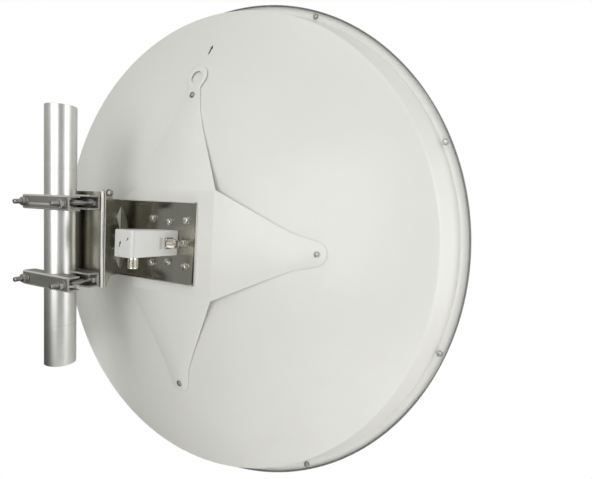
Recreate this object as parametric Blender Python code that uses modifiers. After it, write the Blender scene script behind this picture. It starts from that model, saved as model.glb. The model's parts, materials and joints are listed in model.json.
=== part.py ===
"""Parabolic dish antenna seen on its pole mount: spun reflector, front cover, folded star
stiffener, stainless mount plate, feed block, tilting arm and a four-jaw pole clamp.

Metres, +Z up. The origin lies on the flat lower end of the mast tube, on its wall. The dish
looks along +Y and is tipped down by the small angle at which it is clamped.
"""
from math import acos, asin, atan2, cos, hypot, pi, radians, sin, tan

import bmesh
import bpy
from mathutils import Matrix, Vector

MM = 0.001
GAP = 0.0003                      # seat gap between two touching pieces

# Mast tube
MAST_RADIUS = 24.15 * MM
MAST_WALL = 3.2 * MM
MAST_LENGTH = 430 * MM
CLAMP_HEIGHT = 208 * MM           # middle of the clamp above the mast's lower end

# Where the dish hangs
DISH_OFFSET = 150 * MM            # dish axis beside the mast axis
RIM_AHEAD = 260 * MM              # rim plane's middle in front of the mast axis
PIVOT_AHEAD = 40 * MM             # tilt pivot in front of the mast axis
PIVOT_UP = 84 * MM                # tilt pivot above the middle of the clamp
DISH_DROP = radians(1.65)         # the dish looks slightly down as it is clamped
# The same pivot, measured in the dish's own tipped frame
PIVOT_BEHIND_RIM = (RIM_AHEAD - PIVOT_AHEAD) * cos(DISH_DROP) + PIVOT_UP * sin(DISH_DROP)
PIVOT_ABOVE_AXIS = PIVOT_UP * cos(DISH_DROP) - (RIM_AHEAD - PIVOT_AHEAD) * sin(DISH_DROP)

# Reflector, turned about the dish axis; depths are measured back from the rim plane
SHELL = 1.5 * MM
APERTURE_RADIUS = 450 * MM
FLANGE_RADIUS = 463.5 * MM
RIDGE_RADIUS = 430 * MM
SKIRT_DEPTH = 61.5 * MM
BOWL_DEPTH = 93.5 * MM            # from the ridge to the vertex
TURN_STEPS = 72

# Front cover and edge band
COVER_SHELL = 3 * MM
COVER_RISE = 52 * MM
COVER_DOME_RADIUS = 446 * MM
BAND_RADIUS = 466 * MM
BAND_REAR = 3.5 * MM
BAND_FRONT = 4.5 * MM
RIM_SCREWS = 8                    # four on each half of the rim
RIM_SCREW_CIRCLE = 456.5 * MM
RIM_SCREW_FIRST = radians(-62.5)
RIM_SCREW_STEP = radians(43.3)
RIM_SCREW_RADIUS = 2.5 * MM
RIM_NUT_FLATS = 8 * MM
RIM_NUT_HEIGHT = 4 * MM

# Star stiffener: flat square on the axis, four folded arms screwed to the bowl
STAR_SHEET = 1.5 * MM
STAR_HALF = 87 * MM
STAR_BACK = 160.5 * MM            # rear face of the flat square
STAR_KNEE = 200 * MM              # second fold of each arm
STAR_SCREW = 261 * MM
STAR_NARROW = (228 * MM, 27 * MM)
STAR_TIP = (256 * MM, 20 * MM)    # centre and radius of a rounded arm end
STAR_EYE = (295 * MM, 23 * MM)    # round eye beyond the upper arm's screw
STAR_EYE_TURN = radians(103)      # half the turn of its round end
STAR_EYE_BORE = 11.5 * MM
STAR_NECK = (273.5 * MM, 13.5 * MM)
STAR_KNEE_LIFT = 1.5 * MM         # air under the second fold
STAR_TIP_LIFT = 1.0 * MM          # air under the screw
STAR_WASHER_RADIUS = 5 * MM

# Stainless mount plate on the star
PLATE_SHEET = 3 * MM
PLATE_LEFT = -123 * MM
PLATE_RIGHT = 58 * MM
PLATE_HALF_HEIGHT = 69.5 * MM
PLATE_FRONT = STAR_BACK + GAP
PLATE_BACK = PLATE_FRONT + PLATE_SHEET
LIP_DEPTH = 6 * MM
LIP_INSET = 5 * MM
EAR_BACK = 200 * MM               # rear edge of the plate's bent left end
EAR_CUT_HALF = 60 * MM            # half length of the arched window along the bend
EAR_CUT_DEPTH = 17 * MM
BOLT_SQUARE = 38.5 * MM
BOLT_CROSS = 34 * MM
PLATE_WASHER_RADIUS = 6.2 * MM
PLATE_WASHER_SHEET = 1.6 * MM
PLATE_BOLT_FLATS = 10 * MM
PLATE_BOLT_TOP = 6 * MM           # its head above the plate

# Feed block and its two coaxial sockets
FEED_LEFT = -15 * MM
FEED_RIGHT = 21 * MM
FEED_HALF_HEIGHT = 21 * MM
FEED_LENGTH = 98 * MM
FEED_EDGE = 1.2 * MM
SOCKET_FLANGE = 19 * MM           # side socket's square foot
SOCKET_FOOT = 11 * MM             # lower socket's, hidden inside its barrel
SOCKET_RADIUS = 7.9 * MM
SOCKET_LENGTH = 18 * MM
SOCKET_SHEET = 2.5 * MM
SOCKET_MOUTH_RADIUS = 6.3 * MM
SOCKET_MOUTH_DEPTH = 9 * MM
SOCKET_PIN_RADIUS = 1.5 * MM
SOCKET_PIN_LENGTH = 7 * MM
SIDE_SOCKET_BACK = 187.5 * MM
LOWER_SOCKET_BACK = 243 * MM
LOWER_SOCKET_SIDE = 4.6 * MM

# Tilting arm, a flat plate beside the bracket's ear
ARM_SHEET = 3 * MM
ARM_FACE = -81.7 * MM             # its right face
ARM_REAR = 225 * MM
ARM_MIDDLE = -5 * MM
ARM_HALF_HEIGHT = 77 * MM
ARM_NOSE_HALF = 23 * MM
ARM_NOSE_REAR = 199 * MM
FOOT_LENGTH = 26 * MM
FOOT_HALF_HEIGHT = 19 * MM
FOOT_BOLT_SIDE = 17 * MM          # foot bolts beside the arm's face
FOOT_BOLT_UP = 9 * MM
LUG_RADIUS = 6.5 * MM
PIVOT_BOLT_RADIUS = 3 * MM
PIVOT_BOLT_FLATS = 10 * MM

# Pole bracket: web behind the jaws, ear beside the arm
SHEET = 3 * MM
WEB_AHEAD = 29.3 * MM             # rear face of the web in front of the mast axis
WEB_LEFT = -60.2 * MM
WEB_TOP = 85.5 * MM
WEB_BOTTOM = -75.5 * MM
EAR_FACE = 65 * MM                # right face of the ear, beside the mast axis

# Clamp jaws and their long bolts
JAW_HEIGHT = 24.2 * MM
JAW_SPACING = 64.3 * MM           # jaw pair above and below the middle
JAW_HALF = 60.2 * MM
JAW_DEPTH = 20.5 * MM
INNER_LIFT = 2.4 * MM             # the inner jaws sit a little above the outer ones
OUTER_AHEAD = -(MAST_RADIUS + GAP + SHEET)    # rear face of the outer jaws
# The long bolts lean with that lift, from the outer web's middle to the inner web's middle
BOLT_LEAN = atan2(INNER_LIFT, WEB_AHEAD - GAP - OUTER_AHEAD - SHEET)
BOLT_LIFT = -(OUTER_AHEAD + SHEET / 2) * tan(BOLT_LEAN)
BOLT_GAP = 0.5 * MM               # seat gap under the leaning heads and nuts
BOLT_SIDE = 49 * MM
BOLT_RADIUS = 4 * MM
BOLT_TAIL = 48 * MM               # bolt end behind the mast axis
NUT_FLATS = 13 * MM
NUT_HEIGHT = 6.5 * MM
HEAD_HEIGHT = 5.3 * MM
WASHER_RADIUS = 8 * MM
WASHER_SHEET = 1.6 * MM
HOLE_PLAY = 0.4 * MM

# Elevation range, measured from level
TILT_UP = radians(15)
TILT_DOWN = radians(5)


def clearScene():
    for item in list(bpy.data.objects):
        bpy.data.objects.remove(item, do_unlink=True)


def collection(name):
    made = bpy.data.collections.new(name)
    bpy.context.scene.collection.children.link(made)
    return made


def finish(name, color, roughness, metallic=0.0):
    material = bpy.data.materials.new(name)
    material.use_nodes = True
    shader = material.node_tree.nodes["Principled BSDF"]
    shader.inputs["Base Color"].default_value = (*color, 1)
    shader.inputs["Roughness"].default_value = roughness
    shader.inputs["Metallic"].default_value = metallic
    return material


clearScene()
PARTS = collection("dish_antenna")
CUTTERS = collection("cutters")
WHITE_PAINT = finish("white_paint", (0.80, 0.80, 0.77), 0.38)
COVER_PLASTIC = finish("cover_plastic", (0.84, 0.84, 0.82), 0.45)
BAND_GREY = finish("band_grey", (0.22, 0.22, 0.21), 0.5)
STAINLESS = finish("stainless", (0.52, 0.51, 0.49), 0.32, 1.0)
ZINC = finish("zinc", (0.62, 0.62, 0.60), 0.42, 1.0)
JAW_STEEL = finish("jaw_steel", (0.40, 0.39, 0.38), 0.45, 1.0)
NICKEL = finish("nickel", (0.66, 0.62, 0.55), 0.25, 1.0)


def empty(name, location, parent=None, tip=0.0):
    made = bpy.data.objects.new(name, None)
    made.location = location
    made.rotation_euler.x = tip
    made.parent = parent
    PARTS.objects.link(made)
    return made


# Standing frames: one at the clamp's middle on the mast axis, one at the tilt pivot, and one
# at the middle of the rim plane, which the dish's own sizes are measured from
MAST_Y = MAST_RADIUS - MAST_WALL / 2
turnFrame = empty("turn_frame", (0, MAST_Y, CLAMP_HEIGHT))
tiltFrame = empty("tilt_frame", (0, PIVOT_AHEAD, PIVOT_UP), turnFrame, -DISH_DROP)
dishFrame = empty("dish_frame", (DISH_OFFSET, PIVOT_BEHIND_RIM, -PIVOT_ABOVE_AXIS), tiltFrame)


def place(name, mesh, material, parent, shared=False):
    """Link a mesh as the object of one sub-part, shaded smooth with sharp edges kept."""
    if not shared:
        mesh.shade_smooth()
        mesh.set_sharp_from_angle(angle=radians(32))
        mesh.materials.clear()
        mesh.materials.append(material)
    made = bpy.data.objects.new(name, mesh)
    made.parent = parent
    PARTS.objects.link(made)
    return made


def newMesh(name, form):
    bmesh.ops.recalc_face_normals(form, faces=form.faces)
    if form.calc_volume(signed=True) < 0:
        bmesh.ops.reverse_faces(form, faces=form.faces)
    mesh = bpy.data.meshes.new(name)
    form.to_mesh(mesh)
    form.free()
    return mesh


def boxMesh(name, low, high):
    form = bmesh.new()
    bmesh.ops.create_cube(form, size=1)
    size = Vector(high) - Vector(low)
    middle = (Vector(high) + Vector(low)) / 2
    form.transform(Matrix.Translation(middle) @ Matrix.Diagonal((*size, 1)))
    return newMesh(name, form)


def turnTo(axis):
    """Rotation that lays the local Z axis along a world axis."""
    return Vector(axis).to_track_quat("Z", "Y").to_matrix().to_4x4()


def rodMesh(name, start, axis, length, radius, sides=20, turn=0.0):
    """A cylinder or prism from start along axis."""
    form = bmesh.new()
    bmesh.ops.create_cone(form, cap_ends=True, segments=sides, radius1=radius, radius2=radius,
                          depth=length)
    spin = Matrix.Rotation(turn, 4, "Z")
    lift = Matrix.Translation((0, 0, length / 2))
    form.transform(Matrix.Translation(start) @ turnTo(axis) @ lift @ spin)
    return newMesh(name, form)


def hexMesh(name, start, axis, length, flats=NUT_FLATS):
    return rodMesh(name, start, axis, length, flats / 2 / cos(pi / 6), sides=6)


def cutter(mesh, parent):
    made = bpy.data.objects.new(mesh.name, mesh)
    made.parent = parent
    made.hide_render = True
    made.display_type = "WIRE"
    CUTTERS.objects.link(made)
    return made


def change(body, meshes, operation):
    """Cut or join meshes that stand in the same frame as body, keeping the modifiers live."""
    for mesh in meshes:
        modifier = body.modifiers.new(mesh.name, "BOOLEAN")
        modifier.operation = operation
        modifier.object = cutter(mesh, body.parent)
    return body


def cut(body, *meshes):
    return change(body, meshes, "DIFFERENCE")


def join(body, *meshes):
    return change(body, meshes, "UNION")


def settled(body):
    """Mesh of an object with its modifiers applied, to be shared by copies."""
    bpy.context.view_layer.update()
    graph = bpy.context.evaluated_depsgraph_get()
    return bpy.data.meshes.new_from_object(body.evaluated_get(graph))


def arc(middle, radius, start, stop, steps):
    """Points on an arc, angles in radians, both ends included."""
    turns = [start + (stop - start) * i / steps for i in range(steps + 1)]
    return [(middle[0] + radius * cos(a), middle[1] + radius * sin(a)) for a in turns]


def circle(middle, radius, steps=20):
    return arc(middle, radius, 0, 2 * pi * (steps - 1) / steps, steps - 1)


def flatMesh(name, outlines, thickness, matrix):
    """A flat sheet from an outline and its holes, its mid plane carried by matrix."""
    curve = bpy.data.curves.new(name, "CURVE")
    curve.dimensions = "2D"
    curve.fill_mode = "BOTH" if thickness else "FRONT"
    curve.extrude = thickness / 2
    for outline in outlines:
        spline = curve.splines.new("POLY")
        spline.points.add(len(outline) - 1)
        for point, (u, v) in zip(spline.points, outline):
            point.co = (u, v, 0, 1)
        spline.use_cyclic_u = True
    drawn = bpy.data.objects.new(name, curve)
    CUTTERS.objects.link(drawn)
    mesh = settled(drawn)
    bpy.data.objects.remove(drawn)
    form = bmesh.new()
    form.from_mesh(mesh)
    bmesh.ops.remove_doubles(form, verts=form.verts, dist=1e-6)
    form.transform(matrix)
    bpy.data.meshes.remove(mesh)
    return newMesh(name, form)


def acrossX(x):
    """Carries an outline drawn as (y, z) to the plane at x."""
    return Matrix.Translation((x, 0, 0)) @ Matrix(((0, 0, 1, 0), (1, 0, 0, 0), (0, 1, 0, 0), (0, 0, 0, 1)))


def acrossY(y):
    """Carries an outline drawn as (x, z) to the plane at y."""
    return Matrix.Translation((0, y, 0)) @ Matrix(((1, 0, 0, 0), (0, 0, -1, 0), (0, 1, 0, 0), (0, 0, 0, 1)))


def turned(name, profile, material, parent, shell=0.0, closed=False):
    """Turn a profile of (radius, distance ahead of the rim plane) about the dish axis."""
    form = bmesh.new()
    points = [form.verts.new((radius, 0, ahead)) for radius, ahead in profile]
    for i in range(len(points) - 1 + closed):
        form.edges.new((points[i], points[(i + 1) % len(points)]))
    mesh = bpy.data.meshes.new(name)
    form.to_mesh(mesh)
    form.free()
    made = place(name, mesh, material, parent)
    made.rotation_euler.x = -pi / 2
    screw = made.modifiers.new("turn", "SCREW")
    screw.steps = screw.render_steps = TURN_STEPS
    screw.use_merge_vertices = True
    screw.merge_threshold = 1e-5
    screw.use_smooth_shade = True
    if shell:
        solid = made.modifiers.new("shell", "SOLIDIFY")
        solid.thickness = shell
        solid.offset = -1
        solid.use_even_offset = True
    return made


def bowlDepth(radius):
    """Depth of the reflector's rear face behind the rim plane."""
    return SKIRT_DEPTH + BOWL_DEPTH * (1 - (radius / RIDGE_RADIUS) ** 2)


def buildMast():
    tube = place("mast_tube", rodMesh("mast_tube", (0, MAST_Y, 0), (0, 0, 1), MAST_LENGTH,
                                      MAST_RADIUS, sides=48), ZINC, None)
    bore = rodMesh("mast_bore", (0, MAST_Y, -MAST_LENGTH / 2), (0, 0, 1), 2 * MAST_LENGTH,
                   MAST_RADIUS - MAST_WALL, sides=48)
    cut(tube, bore)


def buildReflector():
    rings = 9
    profile = [(FLANGE_RADIUS, -SHELL), (APERTURE_RADIUS, -SHELL)]
    ridge = Vector((RIDGE_RADIUS, -SKIRT_DEPTH))
    skirt = Vector(profile[1]) - ridge
    profile.append(tuple(ridge + skirt * 0.04))
    profile += [(RIDGE_RADIUS * (rings - i) / rings - (i == 0) * 2.5 * MM,
                 -bowlDepth(RIDGE_RADIUS * (rings - i) / rings - (i == 0) * 2.5 * MM))
                for i in range(rings + 1)]
    turned("reflector", profile, WHITE_PAINT, dishFrame, shell=SHELL)


def buildCover():
    rings = 5
    front = GAP + COVER_SHELL
    dome = [(COVER_DOME_RADIUS * i / rings, front + COVER_RISE * (1 - (i / rings) ** 2))
            for i in range(rings + 1)]
    turned("front_cover", dome + [(FLANGE_RADIUS, front)], COVER_PLASTIC, dishFrame,
           shell=COVER_SHELL)


def buildBand():
    inner = FLANGE_RADIUS + GAP
    section = [(BAND_RADIUS, BAND_FRONT), (BAND_RADIUS, -BAND_REAR), (inner, -BAND_REAR),
               (inner, BAND_FRONT)]
    turned("edge_band", section, BAND_GREY, dishFrame, closed=True)


def starOutline():
    """Outline of the star as (x, z), arms to the right, up, left and down."""
    middle, radius = STAR_TIP
    join_angle = acos((STAR_NARROW[0] - middle) / hypot(STAR_NARROW[0] - middle, STAR_NARROW[1])) \
        - acos(radius / hypot(STAR_NARROW[0] - middle, STAR_NARROW[1]))
    plain = [(STAR_HALF, -STAR_HALF), (STAR_NARROW[0], -STAR_NARROW[1])]
    plain += arc((middle, 0), radius, -join_angle, join_angle, 8) + [(STAR_NARROW[0], STAR_NARROW[1])]
    eye, eye_radius = STAR_EYE
    long = [(STAR_HALF, -STAR_HALF), (STAR_NARROW[0], -STAR_NARROW[1]), (STAR_NECK[0], -STAR_NECK[1])]
    long += arc((eye, 0), eye_radius, -STAR_EYE_TURN, STAR_EYE_TURN, 14) + [STAR_NECK, STAR_NARROW]
    outline = []
    for quarter in range(4):
        c, s = (1, 0, -1, 0)[quarter], (0, 1, 0, -1)[quarter]
        outline += [(c * u - s * v, s * u + c * v) for u, v in (long if quarter == 1 else plain)]
    return outline


def starDepth(reach):
    """Depth of the star's rear face at a distance along an arm."""
    knee = bowlDepth(STAR_KNEE) + STAR_SHEET + STAR_KNEE_LIFT
    tip = bowlDepth(STAR_SCREW) + STAR_SHEET + STAR_TIP_LIFT
    slope = (knee - tip) / (STAR_SCREW - STAR_KNEE)
    if reach <= STAR_HALF:
        return STAR_BACK
    if reach <= STAR_KNEE:
        share = (reach - STAR_HALF) / (STAR_KNEE - STAR_HALF)
        return STAR_BACK + (knee - STAR_BACK) * share
    return knee - slope * (reach - STAR_KNEE)


def buildStar():
    bore = circle((0, STAR_EYE[0]), STAR_EYE_BORE)
    mesh = flatMesh("stiffener_star", [starOutline(), bore], 0, acrossY(0))
    form = bmesh.new()
    form.from_mesh(mesh)
    for fold in (STAR_HALF, STAR_KNEE):
        for normal in ((1, 0, 0), (0, 0, 1)):
            for side in (-1, 1):
                everything = form.verts[:] + form.edges[:] + form.faces[:]
                bmesh.ops.bisect_plane(form, geom=everything, dist=1e-6,
                                       plane_co=Vector(normal) * fold * side, plane_no=normal)
    for vert in form.verts:
        vert.co.y = -starDepth(max(abs(vert.co.x), abs(vert.co.z)))
    bmesh.ops.recalc_face_normals(form, faces=form.faces)
    if sum(face.normal.y for face in form.faces) > 0:
        bmesh.ops.reverse_faces(form, faces=form.faces)
    form.to_mesh(mesh)
    form.free()
    star = place("stiffener_star", mesh, WHITE_PAINT, dishFrame)
    solid = star.modifiers.new("sheet", "SOLIDIFY")
    solid.thickness = STAR_SHEET
    solid.offset = -1


def buildMountPlate():
    left, right, half = PLATE_LEFT, PLATE_RIGHT, PLATE_HALF_HEIGHT
    plate = place("mount_plate", boxMesh("mount_plate", (left, -PLATE_BACK, -half),
                                         (right, -PLATE_FRONT, half)), STAINLESS, dishFrame)
    overlap = PLATE_SHEET / 2
    lips = [boxMesh(f"lip_{word}", (left + overlap, -PLATE_BACK - LIP_DEPTH, low),
                    (right - LIP_INSET, -PLATE_BACK + overlap, low + PLATE_SHEET / 2))
            for word, low in (("upper", half - PLATE_SHEET / 2), ("lower", -half))]
    ear = boxMesh("bent_end", (left, -EAR_BACK, -half), (left + PLATE_SHEET, -PLATE_BACK + overlap, half))
    join(plate, ear, *lips)
    reach = EAR_CUT_HALF
    radius = (reach ** 2 + EAR_CUT_DEPTH ** 2) / (2 * EAR_CUT_DEPTH)
    middle = (-PLATE_BACK - EAR_CUT_DEPTH + radius, 0)
    angle = asin(reach / radius)
    window = arc(middle, radius, pi - angle, pi + angle, 14)
    window += [(-PLATE_BACK + overlap, -reach), (-PLATE_BACK + overlap, reach)]
    cut(plate, flatMesh("ear_window", [window], 4 * PLATE_SHEET, acrossX(left - overlap)))


def buildFeedBlock():
    low = (FEED_LEFT, -PLATE_BACK - GAP - FEED_LENGTH, -FEED_HALF_HEIGHT)
    high = (FEED_RIGHT, -PLATE_BACK - GAP, FEED_HALF_HEIGHT)
    block = place("feed_block", boxMesh("feed_block", low, high), WHITE_PAINT, dishFrame)
    edge = block.modifiers.new("edge", "BEVEL")
    edge.width = FEED_EDGE
    edge.segments = 2


def buildSocket(name, start, axis, flange):
    """Square foot, coaxial barrel and a thinner threaded mouth, from start along axis."""
    start, axis = Vector(start), Vector(axis)
    sheet = SOCKET_SHEET
    side = flange / 2
    across = [side * (1 - abs(part)) for part in axis]
    low = [start[i] - across[i] + min(0, axis[i] * sheet) for i in range(3)]
    high = [start[i] + across[i] + max(0, axis[i] * sheet) for i in range(3)]
    socket = place(name, boxMesh(name, low, high), NICKEL, dishFrame)
    join(socket, rodMesh(name + "_barrel", start + axis * sheet / 2, axis, SOCKET_LENGTH - sheet / 2,
                         SOCKET_RADIUS, sides=24))
    floor = SOCKET_LENGTH - SOCKET_MOUTH_DEPTH
    cut(socket, rodMesh(name + "_mouth", start + axis * floor, axis, 2 * SOCKET_MOUTH_DEPTH,
                        SOCKET_MOUTH_RADIUS, sides=24))
    join(socket, rodMesh(name + "_pin", start + axis * (floor - sheet / 2), axis,
                         SOCKET_PIN_LENGTH + sheet / 2, SOCKET_PIN_RADIUS, sides=10))


def buildArm():
    """Flat plate on the tilt pivot, its nose bent over on to the mount plate."""
    pivot = (-PIVOT_BEHIND_RIM, PIVOT_ABOVE_AXIS)
    top = ARM_MIDDLE + ARM_HALF_HEIGHT
    bottom = ARM_MIDDLE - ARM_HALF_HEIGHT
    front = -PLATE_BACK - GAP
    outline = [(-ARM_REAR, bottom), (-ARM_REAR + 3 * MM, bottom),
               (-ARM_NOSE_REAR, ARM_MIDDLE - ARM_NOSE_HALF), (front, ARM_MIDDLE - ARM_NOSE_HALF),
               (front, ARM_MIDDLE + ARM_NOSE_HALF), (-ARM_NOSE_REAR, ARM_MIDDLE + ARM_NOSE_HALF),
               (-ARM_REAR + 10.5 * MM, top - 4 * MM)]
    outline += arc(pivot, LUG_RADIUS, radians(-25), radians(205), 14)
    bore = circle(pivot, PIVOT_BOLT_RADIUS + HOLE_PLAY)
    reach, rest = lockPlace()
    play = BOLT_RADIUS + HOLE_PLAY + 0.1 * MM
    up = rest - (TILT_UP + DISH_DROP)
    down = rest + (TILT_DOWN - DISH_DROP)
    ends = [(pivot[0] + reach * cos(a), pivot[1] + reach * sin(a)) for a in (up, down)]
    slot = arc(pivot, reach + play, up, down, 8) + arc(ends[1], play, down, down + pi, 6)[1:]
    slot += arc(pivot, reach - play, down, up, 8) + arc(ends[0], play, up + pi, up + 2 * pi, 6)[1:-1]
    plate = flatMesh("tilt_arm", [outline, bore, slot], ARM_SHEET, acrossX(ARM_FACE - ARM_SHEET / 2))
    arm = place("tilt_arm", plate, STAINLESS, dishFrame)
    low, high = ARM_MIDDLE - FOOT_HALF_HEIGHT, ARM_MIDDLE + FOOT_HALF_HEIGHT
    join(arm, boxMesh("arm_foot", (ARM_FACE - ARM_SHEET / 2, front - ARM_SHEET, low),
                      (ARM_FACE + FOOT_LENGTH, front, high)))


def lockPlace():
    """Reach and angle of the lock bolt about the pivot, in the dish's frame as clamped."""
    lock = (-186 * MM, ARM_MIDDLE)
    ahead, up = lock[0] + PIVOT_BEHIND_RIM, lock[1] - PIVOT_ABOVE_AXIS
    return hypot(ahead, up), atan2(up, ahead)


def lockInTurnFrame():
    """The lock bolt's (y, z) in the clamp's frame, where the dish's drop turns it."""
    reach, angle = lockPlace()
    return (PIVOT_AHEAD + reach * cos(angle - DISH_DROP), PIVOT_UP + reach * sin(angle - DISH_DROP))


def buildBracket():
    """Web across the inner jaws and one ear bent forward beside the tilting arm."""
    lock = lockInTurnFrame()
    pivot = (PIVOT_AHEAD, PIVOT_UP)
    back, front = WEB_AHEAD, WEB_AHEAD + SHEET
    web = place("pole_bracket", boxMesh("pole_bracket", (WEB_LEFT, back, WEB_BOTTOM),
                                        (EAR_FACE, front, WEB_TOP)), STAINLESS, turnFrame)
    ear = [(back, WEB_BOTTOM), (back + 5 * MM, WEB_BOTTOM), (back + 16 * MM, -35 * MM),
           (lock[0], lock[1] - 10 * MM)]
    ear += arc(lock, 10 * MM, radians(-60), radians(60), 6)
    ear += [(lock[0], lock[1] + 10 * MM), (back + 17 * MM, 42 * MM), (pivot[0] + LUG_RADIUS, pivot[1])]
    ear += arc(pivot, LUG_RADIUS, radians(10), radians(150), 10) + [(back, WEB_TOP)]
    bores = [circle(pivot, PIVOT_BOLT_RADIUS + HOLE_PLAY), circle(lock, BOLT_RADIUS + HOLE_PLAY)]
    join(web, flatMesh("bracket_ear", [ear, *bores], SHEET, acrossX(EAR_FACE - SHEET / 2)))
    for x in (-BOLT_SIDE, BOLT_SIDE):
        for z in (INNER_LIFT - JAW_SPACING, INNER_LIFT + JAW_SPACING):
            cut(web, rodMesh("web_hole", (x, back - SHEET, z), (0, 1, 0), 3 * SHEET,
                             BOLT_RADIUS + HOLE_PLAY))


def buildJaw(name, base, facing, z):
    """Channel across the mast: a web at base, two flanges reaching back to the mast."""
    half, depth = JAW_HALF, JAW_DEPTH
    low, high = sorted((base, base - facing * depth))
    jaw = place(name, boxMesh(name, (-half, low, z - JAW_HEIGHT / 2), (half, high, z + JAW_HEIGHT / 2)),
                JAW_STEEL, turnFrame)
    inner = JAW_HEIGHT / 2 - SHEET
    low, high = sorted((base - facing * SHEET, base - facing * (depth + SHEET)))
    hollow = boxMesh(name + "_hollow", (-half - SHEET, low, z - inner), (half + SHEET, high, z + inner))
    seat = rodMesh(name + "_seat", (0, 0, z - JAW_HEIGHT), (0, 0, 1), 2 * JAW_HEIGHT,
                   MAST_RADIUS + GAP, sides=48)
    holes = [rodMesh(name + "_hole", (x, base - facing * 3 * SHEET, z), (0, facing, 0), 6 * SHEET,
                     BOLT_RADIUS + HOLE_PLAY) for x in (-BOLT_SIDE, BOLT_SIDE)]
    cut(jaw, hollow, seat, *holes)


def buildJaws():
    for word, height in (("upper", JAW_SPACING), ("lower", -JAW_SPACING)):
        buildJaw(f"inner_jaw_{word}", WEB_AHEAD - GAP, 1, height + INNER_LIFT)
        buildJaw(f"outer_jaw_{word}", OUTER_AHEAD, -1, height)


def buildClampBolts():
    """Long bolts: head in front of the web, one nut inside the inner jaw, one behind the outer."""
    head = WEB_AHEAD + SHEET + BOLT_GAP
    inner_nut = WEB_AHEAD - GAP - SHEET - BOLT_GAP
    outer_nut = OUTER_AHEAD - BOLT_GAP
    length = head + HEAD_HEIGHT + BOLT_TAIL
    pattern = None
    for side, x in (("left", -BOLT_SIDE), ("right", BOLT_SIDE)):
        for word, height in (("upper", 1), ("lower", -1)):
            name = f"clamp_bolt_{word}_{side}"
            if pattern is None:
                made = place(name, rodMesh(name, (0, -BOLT_TAIL, 0), (0, 1, 0), length, BOLT_RADIUS),
                             ZINC, turnFrame)
                join(made, hexMesh("head", (0, head, 0), (0, 1, 0), HEAD_HEIGHT),
                     hexMesh("inner_nut", (0, inner_nut, 0), (0, -1, 0), NUT_HEIGHT),
                     rodMesh("washer", (0, outer_nut, 0), (0, -1, 0), WASHER_SHEET, WASHER_RADIUS),
                     hexMesh("outer_nut", (0, outer_nut - WASHER_SHEET / 2, 0), (0, -1, 0),
                             NUT_HEIGHT + WASHER_SHEET / 2))
                pattern = settled(made)
                made.modifiers.clear()
                made.data = pattern
            else:
                made = place(name, pattern, ZINC, turnFrame, shared=True)
            made.location = (x, 0, height * JAW_SPACING + BOLT_LIFT)
            made.rotation_euler.x = BOLT_LEAN


def buildTiltBolt(name, place_yz, radius, flats):
    """Bolt along X through the arm and the ear, its head beside the arm."""
    face = ARM_FACE + DISH_OFFSET + GAP
    back = EAR_FACE - SHEET - GAP
    head, nut = 1.3 * radius, 1.6 * radius
    bolt = place(name, rodMesh(name, (face + head / 2, *place_yz), (-1, 0, 0),
                               face - back + nut + radius, radius), ZINC, turnFrame)
    join(bolt, hexMesh(name + "_head", (face, *place_yz), (1, 0, 0), head, flats),
         hexMesh(name + "_nut", (back, *place_yz), (-1, 0, 0), nut, flats))


def buildTiltBolts():
    buildTiltBolt("pivot_bolt", (PIVOT_AHEAD, PIVOT_UP), PIVOT_BOLT_RADIUS, PIVOT_BOLT_FLATS)
    buildTiltBolt("lock_bolt", lockInTurnFrame(), BOLT_RADIUS, NUT_FLATS)


def buildPlateBolts():
    """Washer and hexagon head, eight on the feed's flange and two on the arm's foot."""
    spots = [(x * BOLT_SQUARE, z * BOLT_SQUARE) for x in (-1, 1) for z in (-1, 1)]
    spots += [(BOLT_CROSS, 0), (0, BOLT_CROSS), (-BOLT_CROSS, 0), (0, -BOLT_CROSS)]
    spots = [(x, z, PLATE_BACK) for x, z in spots]
    spots += [(ARM_FACE + FOOT_BOLT_SIDE, ARM_MIDDLE + side * FOOT_BOLT_UP, PLATE_BACK + GAP + ARM_SHEET)
              for side in (-1, 1)]
    pattern = None
    for number, (x, z, depth) in enumerate(spots, 1):
        name = f"plate_bolt_{number}"
        if pattern is None:
            washer = rodMesh(name, (0, -GAP, 0), (0, -1, 0), PLATE_WASHER_SHEET, PLATE_WASHER_RADIUS)
            made = place(name, washer, ZINC, dishFrame)
            seat = PLATE_WASHER_SHEET / 2
            join(made, hexMesh("bolt_head", (0, -GAP - seat, 0), (0, -1, 0), PLATE_BOLT_TOP - seat,
                               PLATE_BOLT_FLATS))
            pattern = settled(made)
            made.modifiers.clear()
            made.data = pattern
        else:
            made = place(name, pattern, ZINC, dishFrame, shared=True)
        made.location = (x, -depth, z)


def screwMesh(name):
    """Washer and round head turned from one profile, standing on local Z = 0."""
    form = bmesh.new()
    sheet = 1 * MM
    bmesh.ops.create_cone(form, cap_ends=True, segments=16, radius1=STAR_WASHER_RADIUS,
                          radius2=STAR_WASHER_RADIUS, depth=sheet)
    top = max(form.faces, key=lambda face: face.calc_center_median().z)
    for inset, lift in ((0.8 * MM, 1.4 * MM), (1.6 * MM, 1.2 * MM)):
        bmesh.ops.inset_region(form, faces=[top], thickness=inset)
        bmesh.ops.translate(form, verts=top.verts, vec=(0, 0, lift))
    form.transform(Matrix.Translation((0, 0, sheet / 2)))
    return newMesh(name, form)


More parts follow.
